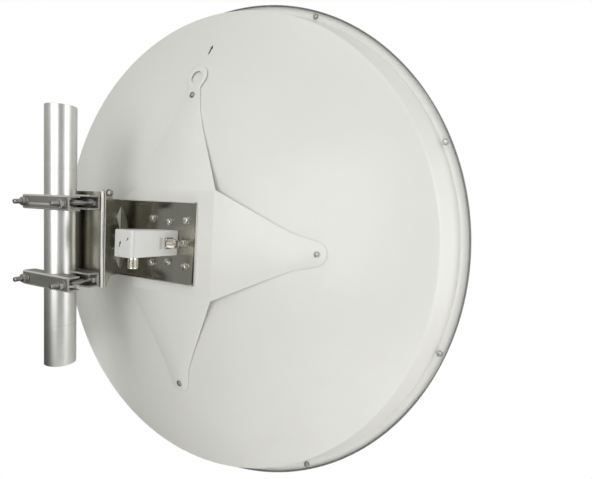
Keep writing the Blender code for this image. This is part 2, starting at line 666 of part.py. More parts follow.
def buildRimNuts():
    """Nut and screw end on the flange's rear face, the left half of the rim as the right one."""
    pattern = None
    for number in range(RIM_SCREWS):
        half, step = divmod(number, RIM_SCREWS // 2)
        turn = RIM_SCREW_FIRST + RIM_SCREW_STEP * step + pi * half
        name = f"rim_screw_{number + 1}"
        if pattern is None:
            nut = hexMesh(name, (0, -GAP, 0), (0, -1, 0), RIM_NUT_HEIGHT, RIM_NUT_FLATS)
            made = place(name, nut, ZINC, dishFrame)
            join(made, rodMesh("screw_end", (0, -RIM_NUT_HEIGHT / 2, 0), (0, -1, 0),
                               RIM_NUT_HEIGHT / 2 + 3 * MM, RIM_SCREW_RADIUS, sides=12))
            pattern = settled(made)
            made.modifiers.clear()
            made.data = pattern
        else:
            made = place(name, pattern, ZINC, dishFrame, shared=True)
        made.location = (RIM_SCREW_CIRCLE * cos(turn), -SHELL, RIM_SCREW_CIRCLE * sin(turn))
        made.rotation_euler.y = -turn


def buildStarScrews():
    """Screw through each arm end, square to the arm's outer fold."""
    drop = atan2(starDepth(STAR_KNEE) - starDepth(STAR_SCREW), STAR_SCREW - STAR_KNEE)
    mesh = screwMesh("star_screw")
    for number, word in enumerate(("right", "upper", "left", "lower")):
        made = place(f"star_screw_{word}", mesh, ZINC, dishFrame, shared=number > 0)
        turn = Matrix.Rotation(-number * pi / 2, 4, "Y")
        spot = Matrix.Translation((STAR_SCREW, -starDepth(STAR_SCREW) - GAP, 0))
        made.matrix_local = turn @ spot @ Matrix.Rotation(drop, 4, "Z") @ turnTo((0, -1, 0))


buildMast()
buildReflector()
buildCover()
buildBand()
buildStar()
buildMountPlate()
buildFeedBlock()
buildSocket("side_socket", (FEED_RIGHT + GAP, -SIDE_SOCKET_BACK, 0), (1, 0, 0), SOCKET_FLANGE)
buildSocket("lower_socket", (LOWER_SOCKET_SIDE, -LOWER_SOCKET_BACK, -FEED_HALF_HEIGHT - GAP), (0, 0, -1),
            SOCKET_FOOT)
buildArm()
buildBracket()
buildJaws()
buildClampBolts()
buildTiltBolts()
buildPlateBolts()
buildRimNuts()
buildStarScrews()
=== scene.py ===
import json
from math import atan, atan2, cos, pi, radians, sin, tan

import bmesh
import bpy
from mathutils import Matrix, Vector


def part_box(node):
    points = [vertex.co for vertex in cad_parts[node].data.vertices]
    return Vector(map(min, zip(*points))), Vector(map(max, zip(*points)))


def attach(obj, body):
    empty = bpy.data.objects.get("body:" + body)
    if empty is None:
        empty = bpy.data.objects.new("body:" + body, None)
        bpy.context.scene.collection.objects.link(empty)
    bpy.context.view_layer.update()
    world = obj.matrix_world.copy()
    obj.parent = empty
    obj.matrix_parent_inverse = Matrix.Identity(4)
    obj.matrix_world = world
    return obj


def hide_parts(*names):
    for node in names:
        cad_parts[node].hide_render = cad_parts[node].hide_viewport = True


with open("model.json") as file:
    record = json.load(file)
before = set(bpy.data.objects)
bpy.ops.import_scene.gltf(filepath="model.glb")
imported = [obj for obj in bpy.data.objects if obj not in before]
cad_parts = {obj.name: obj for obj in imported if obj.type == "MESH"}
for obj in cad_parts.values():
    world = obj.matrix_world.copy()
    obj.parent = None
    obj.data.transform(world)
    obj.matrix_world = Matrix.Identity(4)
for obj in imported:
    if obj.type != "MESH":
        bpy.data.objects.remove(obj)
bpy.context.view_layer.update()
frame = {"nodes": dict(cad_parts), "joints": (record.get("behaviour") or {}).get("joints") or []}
mm = 0.001

# Where things stand, read from the frame: the mast's axis, the clamp's middle on it, and the middle of the
# rim;
# the small angle by which the dish looks down is given
dishDrop = radians(1.65)
joints = {joint["name"]: joint for joint in frame["joints"]}


def boxMiddle(node):
    low, high = (Vector(corner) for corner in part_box(node))
    return (low + high) / 2


mastMiddle = boxMiddle("mast_tube")
clampMiddle = Vector((mastMiddle.x, mastMiddle.y, joints["azimuth_turn"]["pos_m"][2]))
clampPlace = Matrix.Translation(clampMiddle)
bandAhead = 0.5 * mm               # the edge band's middle lies this far ahead of the rim plane
rimMiddle = boxMiddle("edge_band") - Vector((0, bandAhead, 0))
dishPlace = Matrix.Translation(rimMiddle) @ Matrix.Rotation(-dishDrop, 4, "X")


# Finishes: a wire is a socket that takes part in sums, a paint is one material; the table below gives
# each finish its kind, its slot, its colour and its look
class Wire:
    def __init__(self, paint, socket):
        self.paint = paint
        self.socket = socket

    def math(self, operation, *values, clamp=False):
        sockets = dict(enumerate(values))
        return self.paint.node("ShaderNodeMath", {"operation": operation, "use_clamp": clamp}, sockets)

    def __add__(self, other):
        return self.math("ADD", self, other)

    def __sub__(self, other):
        return self.math("SUBTRACT", self, other)

    def __rsub__(self, other):
        return self.math("SUBTRACT", other, self)

    def __mul__(self, other):
        return self.math("MULTIPLY", self, other)

    def __truediv__(self, other):
        return self.math("DIVIDE", self, other)

    __radd__ = __add__
    __rmul__ = __mul__

    def clamped(self):
        return self.math("ADD", self, 0.0, clamp=True)

    def above(self, start, stop):
        # 0 below start, 1 above stop, a straight ramp between
        return ((self - start) / (stop - start)).clamped()


class Paint:
    def __init__(self, name):
        self.material = bpy.data.materials.new(name)
        self.material.use_nodes = True
        self.tree = self.material.node_tree
        self.shader = self.tree.nodes["Principled BSDF"]

    def node(self, kind, settings=None, sockets=None, output=0):
        made = self.tree.nodes.new(kind)
        for key, value in (settings or {}).items():
            if key == "stops":
                while len(made.color_ramp.elements) < len(value):
                    made.color_ramp.elements.new(0.5)
                for element, (position, color) in zip(made.color_ramp.elements, value):
                    element.position = position
                    element.color = (*color, 1)
            else:
                setattr(made, key, value)
        for key, value in (sockets or {}).items():
            self.plug(made.inputs[key], value)
        return Wire(self, made.outputs[output])

    def plug(self, socket, value):
        if isinstance(value, Wire):
            self.tree.links.new(value.socket, socket)
        else:
            socket.default_value = value

    def set(self, **values):
        for key, value in values.items():
            self.plug(self.shader.inputs[key.replace("_", " ")], value)
        return self.material

    def place(self, scale=(1, 1, 1), turn=(0, 0, 0), location=(0, 0, 0)):
        coordinates = self.node("ShaderNodeTexCoord", output=3)
        return self.node("ShaderNodeMapping", {}, {"Vector": coordinates, "Scale": scale, "Rotation": turn,
                                                   "Location": location})

    def noise(self, vector, scale, detail=3.0, rough=0.55):
        return self.node("ShaderNodeTexNoise", {}, {"Vector": vector, "Scale": scale, "Detail": detail,
                                                    "Roughness": rough})

    def mix(self, factor, first, second):
        first, second = ((*end, 1) if isinstance(end, tuple) else end for end in (first, second))
        sockets = {0: factor, 6: first, 7: second}
        return self.node("ShaderNodeMix", {"data_type": "RGBA"}, sockets, output=2)

    def axis(self, vector, name):
        return self.node("ShaderNodeSeparateXYZ", {}, {0: vector}, output="XYZ".index(name))

    def bump(self, height, distance, strength=1.0, below=None):
        sockets = {"Height": height, "Distance": distance, "Strength": strength}
        if below:
            sockets["Normal"] = below
        return self.node("ShaderNodeBump", {}, sockets)


def paintedSheet(name, color, look):
    # powder coat: slight orange peel, faint cloudiness, a little dust in random patches
    paint = Paint(name)
    spot = paint.place()
    cloud = paint.noise(spot, look["cloudScale"], 4)
    peel = paint.noise(spot, look["peelScale"], 2)
    grime = paint.noise(spot, look["grimeScale"], 6, 0.65).above(0.56, 0.78)
    dull = tuple(part * look["dull"] for part in color)
    stained = tuple(part * tint for part, tint in zip(color, look["stain"]))
    base = paint.mix(cloud.above(0.35, 0.7), color, dull)
    base = paint.mix(grime * look["grime"], base, stained)
    rough = look["rough"] + (cloud - 0.5) * look["roughSpread"] + grime * 0.08
    return paint.set(Base_Color=base, Roughness=rough, Coat_Weight=look["coat"], Coat_Roughness=0.25,
                     Normal=paint.bump(peel, look["peelDepth"], 0.6))


def brushedSteel(name, color, look):
    # long fine scratches along one axis, soft cloudy oxide over them, sheared edges dull, with a painted
    # highlight: their colour is painted lighter
    paint = Paint(name)
    shear = paint.node("ShaderNodeAttribute", {"attribute_name": "cutEdge"}, output=2)
    stretch = paint.place(scale=look["stretch"])
    fine = paint.noise(stretch, look["fineScale"], 4, 0.7)
    broad = paint.noise(stretch, look["broadScale"], 3, 0.6)
    cloud = paint.noise(paint.place(), look["cloudScale"], 5, 0.6)
    base = paint.mix(broad.above(0.3, 0.7), tuple(part * look["dark"] for part in color), color)
    base = paint.mix(cloud.above(0.5, 0.75) * look["oxide"], base, look["oxideColor"])
    # painted highlight: the sheared edges are painted in a lighter colour than the sheet
    base = paint.mix(shear, base, look["shearColor"])
    rough = look["rough"] + (fine - 0.5) * look["roughSpread"] + cloud.above(0.45, 0.8) * 0.1
    rough = rough + shear * (look["shearRough"] - look["rough"])
    return paint.set(Base_Color=base, Metallic=1.0, Roughness=rough, Anisotropic=look["grain"],
                     Normal=paint.bump(fine, look["depth"], 0.5))


def galvanised(name, color, look):
    # zinc spangle, drawing lines along the tube, faint rings where a gauge has rubbed
    paint = Paint(name)
    spot = paint.place()
    spangle = paint.node("ShaderNodeTexVoronoi", {"feature": "F1"},
                         {"Vector": spot, "Scale": look["spangleScale"]}, output=1)
    tone = paint.axis(spangle, "X")
    drawn = paint.noise(paint.place(scale=(1, 1, 0.04)), look["drawnScale"], 4, 0.65)
    cloud = paint.noise(spot, look["cloudScale"], 5, 0.6)
    height = paint.axis(spot, "Z")
    rings = 0.0
    for ring in look["rings"]:
        rings = rings + (1 - (height - ring).math("ABSOLUTE", height - ring) / look["ringWidth"]).clamped()
    dark = tuple(part * look["dark"] for part in color)
    streak = paint.noise(paint.place(scale=(1, 1, 0.02)), look["streakScale"], 3, 0.6)
    base = paint.mix((tone * 0.06 + cloud * 0.34 + streak * 0.6).above(0.3, 0.7), dark, color)
    base = paint.mix(rings * look["ringShade"], base, look["ringColor"])
    rough = look["rough"] + (tone - 0.5) * look["roughSpread"] + (cloud - 0.5) * 0.06 + rings * 0.08
    return paint.set(Base_Color=base, Metallic=1.0, Roughness=rough,
                     Normal=paint.bump(drawn, look["depth"], 0.5))


def platedSteel(name, color, look):
    # zinc or nickel plating on small parts: fine grain and a few dull stains
    paint = Paint(name)
    spot = paint.place()
    grain = paint.noise(spot, look["grainScale"], 3)
    stain = paint.noise(spot, look["stainScale"], 5, 0.65).above(0.5, 0.75)
    base = paint.mix(stain * look["stainShade"], color, look["stainColor"])
    rough = look["rough"] + (grain - 0.5) * 0.12 + stain * 0.14
    return paint.set(Base_Color=base, Metallic=1.0, Roughness=rough,
                     Normal=paint.bump(grain, look["depth"], 0.4))


def moulded(name, color, look):
    # plastic or rubber: fine grained skin with slight tone change
    paint = Paint(name)
    spot = paint.place()
    grain = paint.noise(spot, look["grainScale"], 2)
    cloud = paint.noise(spot, look["cloudScale"], 4)
    base = paint.mix(cloud.above(0.35, 0.7), color, tuple(part * look["dull"] for part in color))
    return paint.set(Base_Color=base, Roughness=look["rough"] + (grain - 0.5) * 0.1,
                     Normal=paint.bump(grain, look["depth"], 0.5))


zincLook = {"grainScale": 1500, "stainScale": 160, "stainShade": 0.5, "depth": 0.00002}
paints = {
    "whitePaint": (paintedSheet, "white_paint", (0.80, 0.80, 0.755), {
        "cloudScale": 5, "peelScale": 900, "grimeScale": 14, "dull": 0.972, "stain": (0.88, 0.86, 0.80),
        "grime": 0.22, "rough": 0.36, "roughSpread": 0.10, "coat": 0.25, "peelDepth": 0.00005}),
    "boxPaint": (paintedSheet, "white_paint", (0.71, 0.71, 0.69), {
        "cloudScale": 30, "peelScale": 1400, "grimeScale": 60, "dull": 0.98, "stain": (0.9, 0.88, 0.84),
        "grime": 0.2, "rough": 0.42, "roughSpread": 0.08, "coat": 0.1, "peelDepth": 0.00008}),
    "coverSkin": (moulded, "cover_plastic", (0.83, 0.83, 0.81), {
        "grainScale": 1300, "cloudScale": 6, "dull": 0.975, "rough": 0.48, "depth": 0.00004}),
    "bandRubber": (moulded, "band_grey", (0.20, 0.20, 0.195), {
        "grainScale": 1100, "cloudScale": 40, "dull": 0.85, "rough": 0.55, "depth": 0.00005}),
    "plateSteel": (brushedSteel, "stainless", (0.425, 0.415, 0.355), {
        "stretch": (1, 1, 0.03), "fineScale": 2600, "broadScale": 260, "cloudScale": 22, "dark": 0.88,
        "oxide": 0.25, "oxideColor": (0.29, 0.28, 0.24), "rough": 0.14, "roughSpread": 0.08,
        # the sheared edges' colour here is a painted highlight
        "grain": 0.4, "depth": 0.00001, "shearColor": (0.74, 0.73, 0.70), "shearRough": 0.5}),
    "jawSteel": (brushedSteel, "jaw_steel", (0.39, 0.385, 0.355), {
        "stretch": (0.04, 1, 1), "fineScale": 1800, "broadScale": 180, "cloudScale": 45, "dark": 0.88,
        "oxide": 0.4, "oxideColor": (0.34, 0.335, 0.32), "rough": 0.50, "roughSpread": 0.14,
        # the sheared edges' colour here is a painted highlight
        "grain": 0.1, "depth": 0.00002, "shearColor": (0.78, 0.77, 0.75), "shearRough": 0.5}),
    "mastZinc": (galvanised, "zinc", (0.74, 0.74, 0.72), {
        "spangleScale": 160, "drawnScale": 700, "cloudScale": 30, "streakScale": 220, "rings": (0.327, 0.068),
        "ringWidth": 0.0022, "ringShade": 0.3, "ringColor": (0.5, 0.49, 0.46), "dark": 0.88, "rough": 0.34,
        "roughSpread": 0.008, "depth": 0.00001}),
    "boltZinc": (platedSteel, "zinc", (0.74, 0.73, 0.70), {
        **zincLook, "stainColor": (0.40, 0.38, 0.35), "rough": 0.25}),
    "nutZinc": (platedSteel, "zinc", (0.44, 0.435, 0.42), {
        **zincLook, "stainColor": (0.30, 0.29, 0.27), "rough": 0.3}),
    "rodSteel": (platedSteel, "zinc", (0.34, 0.335, 0.325), {
        **zincLook, "stainColor": (0.22, 0.21, 0.20), "rough": 0.28}),
    "screwSteel": (platedSteel, "zinc", (0.42, 0.41, 0.39), {
        "grainScale": 1500, "stainScale": 220, "stainShade": 0.5, "stainColor": (0.25, 0.24, 0.22),
        "rough": 0.3, "depth": 0.00003}),
    "nickel": (platedSteel, "nickel", (0.76, 0.73, 0.66), {
        "grainScale": 2000, "stainScale": 200, "stainShade": 0.25, "stainColor": (0.5, 0.46, 0.38),
        "rough": 0.16, "depth": 0.00002}),
    "goldPin": (platedSteel, "nickel", (0.83, 0.62, 0.28), {
        "grainScale": 2000, "stainScale": 300, "stainShade": 0.2, "stainColor": (0.6, 0.42, 0.2),
        "rough": 0.2, "depth": 0.00001}),
    "whiteInsulator": (moulded, "cover_plastic", (0.82, 0.81, 0.78), {
        "grainScale": 2500, "cloudScale": 200, "dull": 0.96, "rough": 0.4, "depth": 0.00001}),
    "markInk": (moulded, "band_grey", (0.03, 0.03, 0.03), {
        "grainScale": 2500, "cloudScale": 300, "dull": 0.8, "rough": 0.5, "depth": 0.00001}),
    "labelFilm": (moulded, "cover_plastic", (0.50, 0.50, 0.48), {
        "grainScale": 1800, "cloudScale": 150, "dull": 0.97, "rough": 0.3, "depth": 0.00001}),
}
finishes = {name: make(name, color, look) for name, (make, kind, color, look) in paints.items()}
print("finishes:", len(finishes))


# Modelling helpers; lengths are in metres, a place is a matrix
def turnTo(axis):
    return Vector(axis).to_track_quat("Z", "Y").to_matrix().to_4x4()


def at(start, axis=(0, 0, 1)):
    return Matrix.Translation(start) @ turnTo(axis)


def arc(middle, radius, start, stop, steps):
    turns = [start + (stop - start) * i / steps for i in range(steps + 1)]
    return [(middle[0] + radius * cos(a), middle[1] + radius * sin(a)) for a in turns]


def softened(points, radii, steps=5):
    # a polyline whose inner corners are rounded, one radius for each corner
    path = [Vector(points[0])]
    for before, corner, after, radius in zip(points, points[1:], points[2:], radii):
        corner = Vector(corner)
        back = (Vector(before) - corner).normalized()
        ahead = (Vector(after) - corner).normalized()
        half = back.angle(ahead) / 2
        if radius <= 0 or pi / 2 - half < 0.01:
            path.append(corner)
            continue
        middle = corner + (back + ahead).normalized() * (radius / sin(half))
        reach = radius / tan(half)
        first = corner + back * reach - middle
        last = corner + ahead * reach - middle
        start = atan2(first.y, first.x)
        sweep = (atan2(last.y, last.x) - start + pi) % (2 * pi) - pi
        path += [Vector(point) for point in arc(middle, radius, start, start + sweep, steps)]
    return path + [Vector(points[-1])]


def addTurned(form, profile, place, steps=48, closed=False):
    # a profile of (radius, height) spun about the place's Z axis
    verts = [form.verts.new((radius, 0, height)) for radius, height in profile]
    pairs = list(zip(verts, verts[1:])) + ([(verts[-1], verts[0])] if closed else [])
    edges = [form.edges.new(pair) for pair in pairs]
    before = set(form.verts) - set(verts)
    bmesh.ops.spin(form, geom=verts + edges, cent=(0, 0, 0), axis=(0, 0, 1), angle=2 * pi, steps=steps,
                   use_merge=True)
    fresh = [vert for vert in form.verts if vert not in before]
    bmesh.ops.remove_doubles(form, verts=fresh, dist=1e-7)
    fresh = [vert for vert in form.verts if vert not in before]
    bmesh.ops.transform(form, matrix=place, verts=fresh)


def addBox(form, low, high, place=Matrix.Identity(4)):
    size = Vector(high) - Vector(low)
    middle = (Vector(high) + Vector(low)) / 2
    whole = place @ Matrix.Translation(middle) @ Matrix.Diagonal((*size, 1))
    return bmesh.ops.create_cube(form, size=1, matrix=whole)["verts"]


def addHex(form, place, flats, height, cut=0.95, sides=48):
    # a nut or a bolt head: a hexagon whose corners run down a flat cone at both ends
    half = flats / 2
    cone = tan(radians(30))

    def hexRadius(turn):
        return half / cos((turn + pi / 6) % (pi / 3) - pi / 6)

    def lowered(turn):
        return (hexRadius(turn) - half * cut) * cone

    rings = [lambda turn: (half * cut, 0), lambda turn: (hexRadius(turn), lowered(turn)),
             lambda turn: (hexRadius(turn), height - lowered(turn)), lambda turn: (half * cut, height)]
    loop = bmesh.ops.create_circle(form, segments=sides, radius=1)["verts"]
    turns = [atan2(vert.co.y, vert.co.x) for vert in loop]
    made = []
    edges = [edge for edge in form.edges if edge.verts[0] in loop and edge.verts[1] in loop]
    for number, ring in enumerate(rings):
        if number:
            geometry = bmesh.ops.extrude_edge_only(form, edges=edges)["geom"]
            edges = [item for item in geometry if isinstance(item, bmesh.types.BMEdge)
                     and all(vert not in made for vert in item.verts)]
            fresh = [item for item in geometry if isinstance(item, bmesh.types.BMVert)]
            turns = [atan2(vert.co.y, vert.co.x) for vert in fresh]
            loop = fresh
        for vert, turn in zip(loop, turns):
            radius, level = ring(turn)
            vert.co = (radius * cos(turn), radius * sin(turn), level)
        if number in (0, len(rings) - 1):
            bmesh.ops.contextual_create(form, geom=edges)
        made += loop
    bmesh.ops.transform(form, matrix=place, verts=made)


def rodProfile(length, radius, pitch, threads, chamfer=0.6 * mm):
    # from the axis at the foot to the axis at the tip; threads lists (start, stop) stretches
    depth = 0.54 * pitch
    profile = [(0, 0), (radius - chamfer, 0), (radius, chamfer)]
    for start, stop in threads:
        turns = int((stop - start) / pitch)
        profile.append((radius, start))
        for number in range(turns):
            foot = start + number * pitch
            profile += [(radius - depth, foot + pitch * 0.45), (radius - depth, foot + pitch * 0.55),
                        (radius, foot + pitch * 0.92)]
    profile += [(radius, length - chamfer), (radius - chamfer, length), (0, length)]
    return profile


def addWasher(form, place, bore, radius, thickness, steps=32):
    edge = thickness * 0.2
    ring = [(bore, 0), (radius - edge, 0), (radius, edge), (radius, thickness - edge),
            (radius - edge, thickness), (bore, thickness)]
    addTurned(form, ring, place, steps, closed=True)


def panHeadProfile(radius, height):
    # crowned screw head, from the rim of its seat to the middle of its crown
    crown = [(radius * cos(a), height * (0.25 + 0.75 * sin(a))) for a in
             [pi / 2 * i / 6 for i in range(7)]]
    return [(0, 0), (radius, 0)] + crown[:-1] + [(0, height)]


def roundEdges(form, edges, radius, segments=4):
    bmesh.ops.bevel(form, geom=edges, offset=radius, offset_type="OFFSET", segments=segments, profile=0.5,
                    affect="EDGES", material=-1, clamp_overlap=True)


def roundSharp(piece, width, angle):
    # every edge sharper than angle, in degrees, gets a small round
    bevel = piece.modifiers.new("edge", "BEVEL")
    bevel.width = width
    bevel.segments = 2
    bevel.limit_method = "ANGLE"
    bevel.angle_limit = radians(angle)


def thicken(piece, thickness):
    # the sheet grows inwards from the surface that is drawn
    sheet = piece.modifiers.new("sheet", "SOLIDIFY")
    sheet.thickness = thickness
    sheet.offset = -1


def faceAlong(form, side):
    # the face furthest along side, -1 for the rear and 1 for the front, looks that way
    bmesh.ops.recalc_face_normals(form, faces=form.faces)
    last = max(form.faces, key=lambda face: face.calc_center_median().y * side)
    if last.normal.y * side < 0:
        bmesh.ops.reverse_faces(form, faces=form.faces)


def addPiece(name, form, finish, body, place=Matrix.Identity(4), stands=(), angle=34, edge=0.0, closed=True):
    # mesh to object: placed in the frame, smooth but for real edges, riding on its body
    form.transform(place)
    if closed:
        bmesh.ops.recalc_face_normals(form, faces=form.faces)
    mesh = bpy.data.meshes.new(name)
    form.to_mesh(mesh)
    form.free()
    mesh.shade_smooth()
    mesh.set_sharp_from_angle(angle=radians(angle))
    mesh.materials.append(finishes[finish])
    piece = bpy.data.objects.new(name, mesh)
    bpy.context.scene.collection.objects.link(piece)
    if edge:
        roundSharp(piece, edge, angle)
    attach(piece, body)
    if stands:
        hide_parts(*stands)
    return piece


def copyOfNode(node):
    # the node's own triangles, merged and with its flat faces made whole again
    form = bmesh.new()
    form.from_mesh(frame["nodes"][node].data)
    bmesh.ops.remove_doubles(form, verts=form.verts, dist=1e-6)
    bmesh.ops.dissolve_limit(form, angle_limit=radians(0.8), verts=form.verts, edges=form.edges)
    return form


def softenBends(form, chosen, radius):
    edges = [edge for edge in form.edges if chosen(edge)]
    if edges:
        roundEdges(form, edges, radius)


# The reflector: one spun sheet with a flange, a steep skirt and a shallow bowl
dish = {"flange": 463.5 * mm, "aperture": 450 * mm, "ridge": 430 * mm, "skirt": 61.5 * mm, "bowl": 93.5 * mm,
        "sheet": 1.5 * mm, "flangeBend": 3 * mm, "ridgeBend": 5 * mm, "rings": 30, "steps": 288}


def bowlDepth(radius):
    return dish["skirt"] + dish["bowl"] * (1 - (radius / dish["ridge"]) ** 2)


def makeReflector():
    form = bmesh.new()
    near = dish["ridge"] * 0.955
    corners = [(dish["flange"], -dish["sheet"]), (dish["aperture"], -dish["sheet"]),
               (dish["ridge"], -dish["skirt"]), (near, -bowlDepth(near))]
    profile = softened(corners, (dish["flangeBend"], dish["ridgeBend"]), 6)
    profile += [(near * i / dish["rings"], -bowlDepth(near * i / dish["rings"]))
                for i in range(dish["rings"] - 1, -1, -1)]
    addTurned(form, profile, at((0, 0, 0), (0, 1, 0)), dish["steps"])
    faceAlong(form, -1)
    piece = addPiece("reflectorSheet", form, "whitePaint", "dish", dishPlace, ["reflector"], closed=False)
    thicken(piece, dish["sheet"])


makeReflector()
print("reflector made")

# The front cover: a shallow dome with a flat rim under the screws, and the band round both edges
cover = {"wall": 3 * mm, "rise": 52 * mm, "dome": 446 * mm, "gap": 0.3 * mm, "rings": 24, "blend": 30 * mm}
band = {"radius": 466 * mm, "rear": 3.5 * mm, "front": 4.5 * mm, "edge": 0.9 * mm}


def makeCover():
    form = bmesh.new()
    front = cover["gap"] + cover["wall"]
    last = cover["dome"] * 0.9

    def domeAhead(radius):
        return front + cover["rise"] * (1 - (radius / cover["dome"]) ** 2)

    reaches = [last * i / cover["rings"] for i in range(cover["rings"])]
    profile = [(reach, domeAhead(reach)) for reach in reaches]
    profile += softened([(last, domeAhead(last)), (cover["dome"], front), (dish["flange"], front)],
                        [cover["blend"]], 8)
    addTurned(form, profile, at((0, 0, 0), (0, 1, 0)), dish["steps"])
    faceAlong(form, 1)
    piece = addPiece("coverDome", form, "coverSkin", "dish", dishPlace, ["front_cover"], closed=False)
    thicken(piece, cover["wall"] - 0.1 * mm)


def makeBand():
    form = bmesh.new()
    inner = dish["flange"] + cover["gap"]
    outer, rear, front, edge = band["radius"], -band["rear"], band["front"], band["edge"]
    corners = [(inner, 0), (inner, front), (outer, front), (outer, rear), (inner, rear), (inner, -0.1 * mm)]
    ring = softened(corners, [edge * 0.4, edge, edge, edge * 0.4], 4)
    addTurned(form, ring, at((0, 0, 0), (0, 1, 0)), dish["steps"], closed=True)
    addPiece("edgeBand", form, "bandRubber", "dish", dishPlace, ["edge_band"])


makeCover()
makeBand()
print("cover and band made")

# The star stiffener: a flat square and four arms folded twice, with rounded ends
star = {"half": 87 * mm, "back": 160.5 * mm, "knee": 200 * mm, "screw": 261 * mm, "sheet": 1.5 * mm,
        "narrow": (228 * mm, 27 * mm), "tip": (256 * mm, 20 * mm), "eye": (295 * mm, 23 * mm),
        "eyeTurn": radians(103), "eyeBore": 11.5 * mm, "neck": (273.5 * mm, 13.5 * mm),
        "kneeGap": 1.5 * mm, "tipGap": 1.0 * mm, "foldBend": 4 * mm, "tipTurn": 1.31, "edge": 0.35 * mm}


def starDepth(reach):
    knee = bowlDepth(star["knee"]) + star["sheet"] + star["kneeGap"]
    tip = bowlDepth(star["screw"]) + star["sheet"] + star["tipGap"]
    if reach <= star["half"]:
        return star["back"]
    if reach <= star["knee"]:
        share = (reach - star["half"]) / (star["knee"] - star["half"])
        return star["back"] + (knee - star["back"]) * share
    return knee - (knee - tip) * (reach - star["knee"]) / (star["screw"] - star["knee"])


def armOutline(long):
    # right arm, from the square's lower right corner round its end to the upper right one
    outline = [(star["half"], -star["half"]), (star["narrow"][0], -star["narrow"][1])]
    if long:
        middle, radius = star["eye"]
        turn = star["eyeTurn"]
        outline += [(star["neck"][0], -star["neck"][1])]
        return outline + arc((middle, 0), radius, -turn, turn, 36) + [star["neck"], star["narrow"]]
    middle, radius = star["tip"]
    turn = star["tipTurn"]
    return outline + arc((middle, 0), radius, -turn, turn, 24) + [star["narrow"]]


def makeStar():
    # the right half with half of the eye's bore, then its mirror image
    form = bmesh.new()
    outline = []
    for quarter in range(4):
        c, s = (1, 0, -1, 0)[quarter], (0, 1, 0, -1)[quarter]
        outline += [(c * u - s * v, s * u + c * v) for u, v in armOutline(quarter == 1)]
    eye, reach = star["eye"]
    crown, foot = (0, eye + reach), (0, -sum(star["tip"]))
    side = [point for point in outline if point[0] > 1e-6]
    start = min((index for index, point in enumerate(side) if point[1] < -star["knee"]),
                key=lambda index: side[index][0])
    bore = arc((0, eye), star["eyeBore"], pi / 2, -pi / 2, 24)
    half = [foot] + side[start:] + side[:start] + [crown] + bore
    form.faces.new([form.verts.new((x, 0, z)) for x, z in half])
    copied = bmesh.ops.duplicate(form, geom=form.verts[:] + form.edges[:] + form.faces[:])["geom"]
    for item in copied:
        if isinstance(item, bmesh.types.BMVert):
            item.co.x = -item.co.x
    bmesh.ops.remove_doubles(form, verts=form.verts, dist=1e-6)
    bmesh.ops.recalc_face_normals(form, faces=form.faces)
    for fold in (star["half"], star["knee"]):
        for normal in (Vector((1, 0, 0)), Vector((0, 0, 1))):
            for side in (-1, 1):
                geometry = form.verts[:] + form.edges[:] + form.faces[:]
                bmesh.ops.bisect_plane(form, geom=geometry, dist=1e-6, plane_co=normal * fold * side,
                                       plane_no=normal)
    for vert in form.verts:
        vert.co.y = -starDepth(max(abs(vert.co.x), abs(vert.co.z)))
    bmesh.ops.recalc_face_normals(form, faces=form.faces)
    if sum(face.normal.y for face in form.faces) > 0:
        bmesh.ops.reverse_faces(form, faces=form.faces)
    folds = [edge for edge in form.edges if not edge.is_boundary and edge.calc_face_angle(0) > radians(2)]
    roundEdges(form, folds, star["foldBend"])
    piece = addPiece("starStiffener", form, "whitePaint", "dish", dishPlace, ["stiffener_star"], closed=False)
    thicken(piece, star["sheet"])
    roundSharp(piece, star["edge"], 50)


makeStar()
print("star made")

# Bent and cut sheet parts keep the frame's own shape, with their bends and edges rounded
sheetParts = {
    "mount_plate": {"piece": "mountPlate", "finish": "plateSteel", "body": "dish", "edge": 0.35 * mm},
    "tilt_arm": {"piece": "tiltArm", "finish": "plateSteel", "body": "dish", "edge": 0.35 * mm},
    "pole_bracket": {"piece": "poleBracket", "finish": "plateSteel", "body": "clamp", "edge": 0.35 * mm},
}
plateBend = {"front": -160.8 * mm, "left": -123 * mm, "half": 69.5 * mm, "radius": 2.4 * mm}
bracketBend = {"outer": (65 * mm, 29.3 * mm), "inner": (62 * mm, 32.3 * mm), "outerRadius": 2.6 * mm,
               "innerRadius": 1.6 * mm}
jaw = {"edge": 0.4 * mm, "bend": 2.6 * mm}
cutSheet = 3 * mm


def bendEdges(place, ends):
    # picks the long edges of a bend, given as (axis of the bend, fixed coordinates) in the part's place
    inverse = place.inverted()

    def chosen(edge):
        first, second = (inverse @ vert.co for vert in edge.verts)
        along = (second - first).normalized()
        middle = (first + second) / 2
        for axis, spots in ends:
            if abs(along[axis]) < 0.99:
                continue
            others = [index for index in range(3) if index != axis]
            if any(all(abs(middle[index] - value) < 0.2 * mm for index, value in zip(others, spot))
                   for spot in spots):
                return True
        return False
    return chosen


def markCutEdges(piece, thickness):
    # a face no wider than the sheet is thick is a sheared edge
    mesh = piece.data
    share = mesh.attributes.new("cutEdge", "FLOAT", "FACE")
    for face in mesh.polygons:
        outline = [mesh.vertices[index].co for index in face.vertices]
        length = max((first - second).length for first in outline for second in outline)
        share.data[face.index].value = float(face.area < length * thickness * 1.15 and length > thickness)


def makeSheetParts():
    for node, part in sheetParts.items():
        form = copyOfNode(node)
        if node == "mount_plate":
            front, half = plateBend["front"], plateBend["half"]
            spots = [(2, [(plateBend["left"], front)]), (0, [(front, half), (front, -half)])]
            softenBends(form, bendEdges(dishPlace, spots), plateBend["radius"])
        if node == "pole_bracket":
            for side in ("outer", "inner"):
                spots = [(2, [bracketBend[side]])]
                softenBends(form, bendEdges(clampPlace, spots), bracketBend[f"{side}Radius"])
        piece = addPiece(part["piece"], form, part["finish"], part["body"], stands=[node], edge=part["edge"],
                         angle=30)
        markCutEdges(piece, cutSheet)


